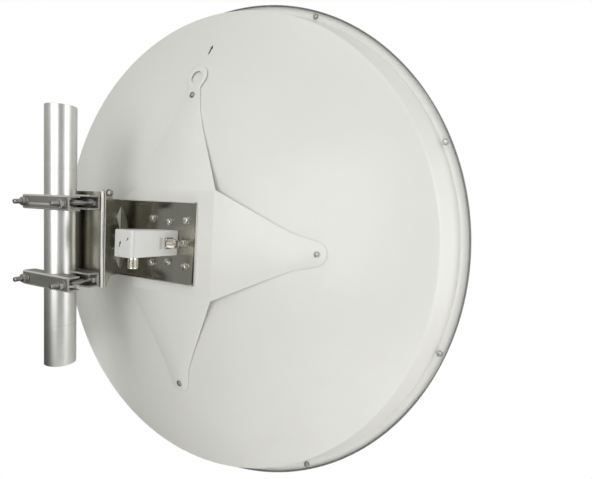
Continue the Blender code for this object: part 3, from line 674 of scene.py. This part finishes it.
def makeJaws():
    for node in frame["nodes"]:
        if "_jaw_" not in node:
            continue
        low, high = (clampPlace.inverted() @ Vector(corner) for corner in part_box(node))
        web = low.y if node.startswith("outer") else high.y
        form = copyOfNode(node)
        outer = bendEdges(clampPlace, [(0, [(web, low.z), (web, high.z)])])
        softenBends(form, outer, jaw["bend"])
        kind, height = node.split("_jaw_")
        piece = addPiece(f"{kind}Jaw{height.title()}", form, "jawSteel", "clamp", stands=[node],
                         edge=jaw["edge"], angle=30)
        markCutEdges(piece, cutSheet)


makeSheetParts()
makeJaws()
print("plates, arm, bracket and jaws made")

# The mast tube: drawn and galvanised, cut square at both ends
mast = {"radius": 24.15 * mm, "wall": 3.2 * mm, "edge": 0.5 * mm, "steps": 128}


def makeMast():
    form = bmesh.new()
    low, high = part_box("mast_tube")
    outer, inner, edge = mast["radius"], mast["radius"] - mast["wall"], mast["edge"]
    top = high[2] - low[2]
    ring = [(outer, top - edge), (outer, edge), (outer - edge, 0), (inner + edge, 0), (inner, edge),
            (inner, top - edge), (inner + edge, top), (outer - edge, top)]
    foot = Matrix.Translation((mastMiddle.x, mastMiddle.y, low[2]))
    addTurned(form, ring, foot, mast["steps"], closed=True)
    addPiece("mastTube", form, "mastZinc", "mast", stands=["mast_tube"])


makeMast()
print("mast made")

# Clamp bolts: threaded rod, head in front of the bracket, lock nut, washers and nut behind
bolt = {"radius": 4 * mm, "pitch": 1.25 * mm, "side": 49 * mm, "spacing": 64.3 * mm, "tail": 48 * mm,
        "head": 32.8 * mm, "headHeight": 5.3 * mm, "innerNut": 25.5 * mm, "outerWeb": 27.9 * mm,
        "lean": 2.494, "lift": 1.13 * mm,
        "flats": 13 * mm, "nutHeight": 6.5 * mm, "washer": 8 * mm, "washerSheet": 1.6 * mm,
        "threads": [(1 * mm, 34 * mm), (62 * mm, 74 * mm)]}


def makeClampBolts():
    for side, x in (("Left", -bolt["side"]), ("Right", bolt["side"])):
        for height, z in (("Upper", bolt["spacing"]), ("Lower", -bolt["spacing"])):
            form = bmesh.new()
            tip = (0, -bolt["tail"], 0)
            length = bolt["tail"] + bolt["head"] + 1 * mm
            profile = rodProfile(length, bolt["radius"], bolt["pitch"], bolt["threads"], 1 * mm)
            addTurned(form, profile, at(tip, (0, 1, 0)), 32)
            node = f"clamp_bolt_{height.lower()}_{side.lower()}"
            place = clampPlace @ Matrix.Translation((x, 0, z + bolt["lift"])) @ Matrix.Rotation(
                radians(bolt["lean"]), 4, "X")
            addPiece(f"clampRod{height}{side}", form, "rodSteel", "clamp", place)
            form = bmesh.new()
            turn = Matrix.Rotation(0.3 if x < 0 else 0.9, 4, "Z")
            addHex(form, at((0, bolt["head"], 0), (0, 1, 0)) @ turn, bolt["flats"], bolt["headHeight"])
            addHex(form, at((0, bolt["innerNut"], 0), (0, -1, 0)) @ turn, bolt["flats"], bolt["nutHeight"])
            seat = bolt["outerWeb"]
            addWasher(form, at((0, -seat, 0), (0, -1, 0)), bolt["radius"] + 0.2 * mm, bolt["washer"],
                      bolt["washerSheet"], 40)
            seat += bolt["washerSheet"]
            addHex(form, at((0, -seat, 0), (0, -1, 0)) @ turn, bolt["flats"], bolt["nutHeight"])
            addPiece(f"clampBolt{height}{side}", form, "nutZinc", "clamp", place, [node])


# Pivot and lock bolts along X, read from the boxes of their nodes
sideBolts = {"pivot_bolt": {"piece": "pivotBolt", "radius": 3 * mm, "flats": 10 * mm, "pitch": 1 * mm},
             "lock_bolt": {"piece": "lockBolt", "radius": 4 * mm, "flats": 13 * mm, "pitch": 1.25 * mm}}


def makeSideBolts():
    for node, part in sideBolts.items():
        low, high = (Vector(corner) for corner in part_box(node))
        middle = (low + high) / 2
        head = 1.3 * part["radius"]
        nut = 1.6 * part["radius"]
        stack = 6.9 * mm
        form = bmesh.new()
        profile = rodProfile(high.x - low.x - head, part["radius"], part["pitch"],
                             [(0.8 * mm, part["radius"] + nut)], 0.6 * mm)
        addTurned(form, profile, at((low.x, middle.y, middle.z), (1, 0, 0)), 32)
        addHex(form, at((high.x - head, middle.y, middle.z), (1, 0, 0)), part["flats"], head)
        addHex(form, at((high.x - head - stack, middle.y, middle.z), (-1, 0, 0)), part["flats"], nut)
        addPiece(part["piece"], form, "rodSteel", "clamp", stands=[node])


makeClampBolts()
makeSideBolts()
print("clamp bolts made")

# Small bolts and screws on the dish
plateBolt = {"flats": 10 * mm, "height": 4.4 * mm, "washer": 6.2 * mm, "sheet": 1.6 * mm, "shank": 3 * mm}
rimScrew = {"flats": 8 * mm, "height": 3.6 * mm, "washer": 5 * mm, "sheet": 0.8 * mm, "shank": 2.5 * mm,
            "tail": 6.4 * mm, "head": 4.6 * mm, "crown": 2.8 * mm}
starScrew = {"shank": 1.5 * mm, "washer": 5.6 * mm, "sheet": 1 * mm, "head": 4.2 * mm, "crown": 2.6 * mm}


def makePlateBolts():
    axis = Vector((0, -1, 0))
    for node in sorted(frame["nodes"]):
        if not node.startswith("plate_bolt_"):
            continue
        middle = dishPlace.inverted() @ boxMiddle(node)
        number = int(node.split("_")[-1])
        seat = middle - axis * (plateBolt["height"] + plateBolt["sheet"]) / 2
        form = bmesh.new()
        addWasher(form, at(seat, axis), plateBolt["shank"], plateBolt["washer"], plateBolt["sheet"], 40)
        turn = Matrix.Rotation(number * 0.47, 4, "Z")
        crown = seat + axis * plateBolt["sheet"]
        addHex(form, at(crown, axis) @ turn, plateBolt["flats"], plateBolt["height"])
        addPiece(f"plateBolt{number}", form, "boltZinc", "dish", dishPlace, [node])


def makeRimScrews():
    back = Vector((0, -1, 0))
    for number in range(1, 9):
        node = f"rim_screw_{number}"
        middle = dishPlace.inverted() @ boxMiddle(node)
        seat = Vector((middle.x, -dish["sheet"] - 0.1 * mm, middle.z))
        outward = atan2(middle.z, middle.x)
        form = bmesh.new()
        turn = Matrix.Rotation(outward + number * 0.31, 4, "Z")
        addWasher(form, at(seat, back), rimScrew["shank"], rimScrew["washer"], rimScrew["sheet"])
        addHex(form, at(seat + back * rimScrew["sheet"], back) @ turn, rimScrew["flats"], rimScrew["height"])
        profile = rodProfile(rimScrew["tail"], rimScrew["shank"], 0.8 * mm, [(3.6 * mm, 5.8 * mm)], 0.5 * mm)
        addTurned(form, profile, at(seat, back), 24)
        front = Vector((middle.x, cover["gap"] + cover["wall"] + 0.1 * mm, middle.z))
        addTurned(form, panHeadProfile(rimScrew["head"], rimScrew["crown"]), at(front, (0, 1, 0)), 32)
        addPiece(f"rimScrew{number}", form, "screwSteel", "dish", dishPlace, [node])


def makeStarScrews():
    drop = atan((starDepth(star["knee"]) - starDepth(star["screw"])) / (star["screw"] - star["knee"]))
    for number, word in enumerate(("right", "upper", "left", "lower")):
        form = bmesh.new()
        addWasher(form, Matrix.Identity(4), starScrew["shank"], starScrew["washer"], starScrew["sheet"])
        addTurned(form, panHeadProfile(starScrew["head"], starScrew["crown"]),
                  Matrix.Translation((0, 0, starScrew["sheet"] * 0.5)), 32)
        for turn in (0, pi / 2):
            blade = Matrix.Rotation(turn, 4, "Z")
            addBox(form, (-1.9 * mm, -0.3 * mm, 2.3 * mm), (1.9 * mm, 0.3 * mm, 3.2 * mm), blade)
        turn = Matrix.Rotation(-number * pi / 2, 4, "Y")
        spot = Matrix.Translation((star["screw"], -starDepth(star["screw"]) - 0.1 * mm, 0))
        place = dishPlace @ turn @ spot @ Matrix.Rotation(drop, 4, "Z") @ turnTo((0, -1, 0))
        addPiece(f"starScrew{word.title()}", form, "screwSteel", "dish", place, [f"star_screw_{word}"])


makePlateBolts()
makeRimScrews()
makeStarScrews()
print("screws made")

# Feed block: a cast box with rounded edges, a parting line and its two coaxial sockets
feed = {"left": -15 * mm, "right": 21 * mm, "half": 21 * mm, "front": 164.1 * mm, "length": 98 * mm,
        "edge": 1.6 * mm, "lid": 4 * mm, "groove": 0.5 * mm}
socket = {"flange": 19 * mm, "sheet": 2.5 * mm, "barrel": 7.9 * mm, "length": 18 * mm, "mouth": 6.3 * mm,
          "depth": 9 * mm, "pin": 1.5 * mm, "insulator": 4.2 * mm, "pitch": 1.05 * mm, "screwSpot": 6.4 * mm,
          "corner": 1.5 * mm}


def makeFeedBlock():
    form = bmesh.new()
    back = feed["front"] + feed["length"]
    addBox(form, (feed["left"], -back, -feed["half"]), (feed["right"], -feed["front"], feed["half"]))
    roundEdges(form, form.edges[:], feed["edge"])
    # the parting line runs round the box just inside its rear lid
    line = -back + feed["lid"] + feed["edge"]
    width = feed["groove"] * 1.6
    for level in (line, line + width):
        bmesh.ops.bisect_plane(form, geom=form.verts[:] + form.edges[:] + form.faces[:], dist=1e-7,
                               plane_co=(0, level, 0), plane_no=(0, 1, 0))
    strip = [face for face in form.faces if line < face.calc_center_median().y < line + width]
    bmesh.ops.inset_region(form, faces=strip, thickness=0.15 * mm, depth=-feed["groove"],
                           use_even_offset=True, use_boundary=True)
    addPiece("feedBlock", form, "boxPaint", "dish", dishPlace, ["feed_block"], angle=40)


def makeSocket(node, name, start, axis, square):
    start, axis = Vector(start), Vector(axis)
    place = at(start, axis)
    form = bmesh.new()
    outer, mouth, top = socket["barrel"], socket["mouth"], socket["length"]
    thread = socket["pitch"]
    if square:
        half = socket["flange"] / 2
        flange = addBox(form, (-half, -half, 0), (half, half, socket["sheet"]))
        edges = {edge for vert in flange for edge in vert.link_edges}
        upright = [edge for edge in edges if abs((edge.verts[0].co - edge.verts[1].co).normalized().z) > 0.9]
        roundEdges(form, upright, socket["corner"])
        profile = [(0, socket["sheet"] * 0.5), (outer - 1.2 * mm, socket["sheet"] * 0.5),
                   (outer - 1.2 * mm, socket["sheet"] + 1.2 * mm)]
    else:
        profile = [(0, 0), (outer - 0.9 * mm, 0), (outer - 0.9 * mm, socket["sheet"] + 1.2 * mm)]
    rise = socket["sheet"] + 1.6 * mm
    while rise < top - 1.4 * mm:
        profile += [(outer, rise), (outer, rise + thread * 0.2), (outer - 0.55 * mm, rise + thread * 0.6)]
        rise += thread
    profile += [(outer - 0.5 * mm, top - 0.6 * mm), (outer - 1.0 * mm, top), (mouth, top),
                (mouth, top - socket["depth"]), (0, top - socket["depth"])]
    addTurned(form, profile, Matrix.Identity(4), 48)
    for x in (-1, 1) if square else ():
        for y in (-1, 1):
            spot = Matrix.Translation((x * socket["screwSpot"], y * socket["screwSpot"], socket["sheet"]))
            addTurned(form, panHeadProfile(1.7 * mm, 1.1 * mm), spot, 20)
    addPiece(name, form, "nickel", "dish", dishPlace @ place, [node], angle=28)
    core = bmesh.new()
    addTurned(core, [(0, 0), (socket["insulator"], 0), (socket["insulator"], 4.6 * mm), (3.6 * mm, 5 * mm),
                     (1.8 * mm, 5 * mm), (1.8 * mm, 4 * mm), (0, 4 * mm)],
              Matrix.Translation((0, 0, top - socket["depth"] + 0.05 * mm)), 32)
    addPiece(f"{name}Core", core, "whiteInsulator", "dish", dishPlace @ place)
    pin = bmesh.new()
    addTurned(pin, [(0, 0), (socket["pin"], 0), (socket["pin"], 6.6 * mm), (1.1 * mm, 7.2 * mm),
                    (0.7 * mm, 7.2 * mm), (0.7 * mm, 5.2 * mm), (0, 5.2 * mm)],
              Matrix.Translation((0, 0, top - socket["depth"] + 0.06 * mm)), 24)
    addPiece(f"{name}Pin", pin, "goldPin", "dish", dishPlace @ place)


makeFeedBlock()
makeSocket("side_socket", "sideSocket", (feed["right"] + 0.1 * mm, -187.5 * mm, 0), (1, 0, 0), True)
makeSocket("lower_socket", "lowerSocket", (4.6 * mm, -243 * mm, -feed["half"] - 0.1 * mm), (0, 0, -1), False)
print("feed block and sockets made")

# Plain arrows printed on the reflector and on the feed block's rear, and a blank label on its side
mark = {"film": 0.15 * mm, "sunk": 0.05 * mm}
arrows = {
    "arrowMark": {"foot": (9.8 * mm, 341 * mm), "tip": (14.2 * mm, 359 * mm), "width": 3 * mm,
                  "head": 6.4 * mm, "headLength": 7 * mm, "onBox": False},
    "boxArrow": {"foot": (-4.5 * mm, -5.5 * mm), "tip": (-1.5 * mm, 4 * mm), "width": 1.6 * mm,
                 "head": 4.4 * mm, "headLength": 4.2 * mm, "onBox": True},
    "boxArrowSmall": {"foot": (11.5 * mm, 5 * mm), "tip": (15 * mm, 10 * mm), "width": 1.2 * mm,
                      "head": 3.4 * mm, "headLength": 3 * mm, "onBox": True},
}
label = {"low": (-206 * mm, -9.5 * mm), "high": (-199.5 * mm, 9.5 * mm), "film": 0.12 * mm}


def makeArrow(name, arrow):
    foot, tip = Vector(arrow["foot"]), Vector(arrow["tip"])
    along = (tip - foot).normalized()
    side = Vector((-along.y, along.x))
    neck = tip - along * arrow["headLength"]
    stem, wing = side * arrow["width"] / 2, side * arrow["head"] / 2
    outline = [foot - stem, neck - stem, neck - wing, tip, neck + wing, neck + stem, foot + stem]
    form = bmesh.new()
    form.faces.new([form.verts.new((x, 0, z)) for x, z in outline])
    solid = bmesh.ops.extrude_face_region(form, geom=form.faces[:])
    raised = {item for item in solid["geom"] if isinstance(item, bmesh.types.BMVert)}
    for vert in form.verts:
        spot = Vector((vert.co.x, vert.co.z))
        depth = feed["front"] + feed["length"] if arrow["onBox"] else bowlDepth(spot.length)
        vert.co.y = -depth - (mark["film"] if vert in raised else -mark["sunk"])
    addPiece(name, form, "markInk", "dish", dishPlace)


def makeLabel():
    form = bmesh.new()
    face = feed["right"]
    (rear, low), (front, high) = label["low"], label["high"]
    addBox(form, (face - 0.05 * mm, rear, low), (face + label["film"], front, high))
    addPiece("blankLabel", form, "labelFilm", "dish", dishPlace)


for name, arrow in arrows.items():
    makeArrow(name, arrow)
makeLabel()
print("marks made")

# Studio: a pale floor that curves up all round, surfaces that light and mirror in the object but stay
# out of the picture, soft lights, and the photograph's camera
# the stage bowl's glow is painted light: dimmer on the floor than on the walls, and dimmer at the rear side
stageBowl = {"floor": -0.94, "radius": 6.5, "curve": 2.0, "wall": 6.0, "steps": 96,
             "near": (0.72, 0.72, 0.71), "floorShade": 0.88, "start": -2.5, "full": 0.95}
studio = {"floor": -0.95, "reach": 3.2, "wall": 3.4, "curve": 1.2, "width": 9.0, "turn": radians(27.6),
          "glow": 0.55, "glowStart": 0.8, "glowFull": 1.02, "nearShade": (0.34, 0.34, 0.30), "world": 0.38,
          "pool": (1.3, -0.6), "poolCore": 0.4, "poolReach": 1.7, "poolGlow": 1.0,
          "leftShade": (0.08, 0.08, 0.06), "leftDark": -1.0, "leftEnd": 0.6}
flag = {"radius": 2.3, "start": 40, "stop": 126, "low": -0.94, "high": 2.2, "shade": 0.05, "glow": 0.46,
        "dark": -0.8, "light": 0.9}
softboxes = {
    "rearBox": {"turn": 10, "rise": 9, "distance": 2.6, "size": (2.0, 2.1), "power": 29},
    "rearFill": {"turn": -22, "rise": 34, "distance": 2.62, "size": (1.5, 1.7), "power": 4.5},
    "sideBox": {"turn": 102, "rise": 6, "distance": 2.6, "size": (2.1, 2.3), "power": 29},
    "topBox": {"turn": 60, "rise": 74, "distance": 2.4, "size": (2.0, 2.0), "power": 10},
}


def linkMesh(name, form, material):
    mesh = bpy.data.meshes.new(name)
    form.to_mesh(mesh)
    form.free()
    mesh.shade_smooth()
    mesh.materials.append(material)
    made = bpy.data.objects.new(name, mesh)
    bpy.context.scene.collection.objects.link(made)
    return made


def sweepLine(form, line, move):
    # a line of points, drawn out along one straight move
    verts = [form.verts.new(point) for point in line]
    edges = [form.edges.new(pair) for pair in zip(verts, verts[1:])]
    drawn = bmesh.ops.extrude_edge_only(form, edges=edges)["geom"]
    moved = [item for item in drawn if isinstance(item, bmesh.types.BMVert)]
    bmesh.ops.translate(form, vec=move, verts=moved)


def showOnlyToCamera(made):
    made.visible_diffuse = False
    made.visible_glossy = False
    made.visible_transmission = False
    made.visible_shadow = False


def makeStageBowl():
    # the pale floor and walls that the camera sees, all round; it adds no light of its own
    form = bmesh.new()
    bend = (stageBowl["radius"] - stageBowl["curve"], stageBowl["floor"] + stageBowl["curve"])
    profile = [(0, stageBowl["floor"])] + arc(bend, stageBowl["curve"], -pi / 2, 0, 16)
    profile += [(stageBowl["radius"], stageBowl["wall"])]
    addTurned(form, profile, Matrix.Identity(4), stageBowl["steps"])
    paper = Paint("stagePaper")
    ahead = paper.axis(paper.place(turn=(0, 0, -studio["turn"])), "Y")
    floor = stageBowl["floor"]
    rise = paper.axis(paper.place(), "Z").above(floor, floor + stageBowl["curve"] * 1.5)
    # painted shade: the floor glows darker than the walls
    low = tuple(part * stageBowl["floorShade"] for part in stageBowl["near"])
    near = paper.mix(rise, low, stageBowl["near"])
    # painted light: the glow rises from the dim rear side to full white ahead
    share = ahead.above(stageBowl["start"], stageBowl["full"])
    glow = paper.mix(share * share * (3 - 2 * share), near, (1.0, 1.0, 1.0))
    showOnlyToCamera(linkMesh("stageBowl", form, paper.set(
        Base_Color=(0, 0, 0, 1), Specular_IOR_Level=0.0, Emission_Color=glow, Emission_Strength=1.0)))


def makeBounceFloor():
    # what lights and mirrors in the object: dark at the left, a bright pool at the right, bright far off
    form = bmesh.new()
    corner = (studio["reach"] - studio["curve"], studio["floor"] + studio["curve"])
    side = [(-studio["reach"] * 1.4, studio["floor"])] + arc(corner, studio["curve"], -pi / 2, 0, 16)
    side += [(studio["reach"], studio["wall"])]
    sweepLine(form, [(-studio["width"] / 2, y, z) for y, z in side], (studio["width"], 0, 0))
    form.transform(Matrix.Rotation(studio["turn"], 4, "Z"))
    paper = Paint("bouncePaper")
    fibre = paper.noise(paper.place(), 3, 3)
    turned = paper.place(turn=(0, 0, -studio["turn"]))
    ahead = paper.axis(turned, "Y")
    right = paper.axis(turned, "X").above(studio["leftDark"], studio["leftEnd"])
    far = ahead.above(studio["glowStart"], studio["glowFull"])
    centre = (*studio["pool"], studio["floor"])
    away = paper.node("ShaderNodeVectorMath", {"operation": "DISTANCE"}, {0: paper.place(), 1: centre},
                      output=1)
    pool = 1 - away.above(studio["poolCore"], studio["poolReach"])
    pale = paper.mix(fibre, (0.93, 0.93, 0.93), (0.95, 0.95, 0.95))
    near = paper.mix(right, studio["leftShade"], studio["nearShade"])
    base = paper.mix((far + pool).clamped(), near, pale)
    bright = (studio["poolGlow"],) * 3
    glow = paper.mix(far, paper.mix(pool, (0.0, 0.0, 0.0), bright), (1.0, 1.0, 1.0))
    card = linkMesh("bounceFloor", form, paper.set(Base_Color=base, Roughness=0.9, Emission_Color=glow,
                                                   Emission_Strength=studio["glow"]))
    card.visible_camera = False


def makeFlag():
    # a dark studio flag at the left, which only the reflections show
    form = bmesh.new()
    turns = [radians(-90 - flag["start"] - (flag["stop"] - flag["start"]) * i / 12) for i in range(13)]
    line = [(flag["radius"] * cos(turn), flag["radius"] * sin(turn), flag["low"]) for turn in turns]
    sweepLine(form, line, (0, 0, flag["high"] - flag["low"]))
    cloth = Paint("flagCloth")
    shade = (flag["shade"],) * 3
    rise = cloth.axis(cloth.place(), "Z").above(flag["dark"], flag["light"])
    glow = cloth.mix(rise, (0.0, 0.0, 0.0), (1.0, 1.0, 0.93))
    card = linkMesh("leftFlag", form, cloth.set(Base_Color=(*shade, 1), Roughness=0.95, Emission_Color=glow,
                                                Emission_Strength=flag["glow"]))
    card.visible_camera = False


def addSoftbox(name, box):
    # turn is measured from straight behind the dish towards its right side
    turn, rise = radians(box["turn"]), radians(box["rise"])
    aim = Vector((0.1, 0.15, 0.2))
    light = bpy.data.lights.new(name, "AREA")
    light.shape = "RECTANGLE"
    light.size, light.size_y = box["size"]
    light.energy = box["power"]
    lamp = bpy.data.objects.new(name, light)
    lamp.location = aim + Vector((sin(turn) * cos(rise), -cos(turn) * cos(rise), sin(rise))) * box["distance"]
    lamp.rotation_euler = (aim - lamp.location).to_track_quat("-Z", "Y").to_euler()
    lamp.visible_camera = False
    bpy.context.scene.collection.objects.link(lamp)


def makeStudio():
    scene = bpy.context.scene
    world = bpy.data.worlds.new("studio")
    scene.world = world
    world.use_nodes = True
    world.node_tree.nodes["Background"].inputs["Color"].default_value = (1, 1, 1, 1)
    world.node_tree.nodes["Background"].inputs["Strength"].default_value = studio["world"]
    for name, box in softboxes.items():
        addSoftbox(name, box)
    scene.view_settings.view_transform = "Standard"


camera = {"position": (521.9 * mm, -692.2 * mm, 71.7 * mm), "focal": 415.2, "imageWidth": 592, "sensor": 36,
          "yaw": radians(27.62), "pitch": radians(4.11), "roll": radians(2.49), "rise": -1.3}


def makeCamera():
    data = bpy.data.cameras.new("camera")
    data.sensor_width = camera["sensor"]
    data.lens = camera["focal"] / camera["imageWidth"] * camera["sensor"]
    data.shift_y = camera["rise"] / camera["imageWidth"]
    data.clip_start = 0.01
    eye = bpy.data.objects.new("camera", data)
    turn = Matrix.Rotation(camera["yaw"], 4, "Z") @ Matrix.Rotation(pi / 2 - camera["pitch"], 4, "X")
    turn = turn @ Matrix.Rotation(camera["roll"], 4, "Z")
    eye.matrix_world = Matrix.Translation(rimMiddle + Vector(camera["position"])) @ turn
    bpy.context.scene.collection.objects.link(eye)
    bpy.context.scene.camera = eye


makeStageBowl()
makeBounceFloor()
makeFlag()
makeStudio()
makeCamera()
print("studio made")
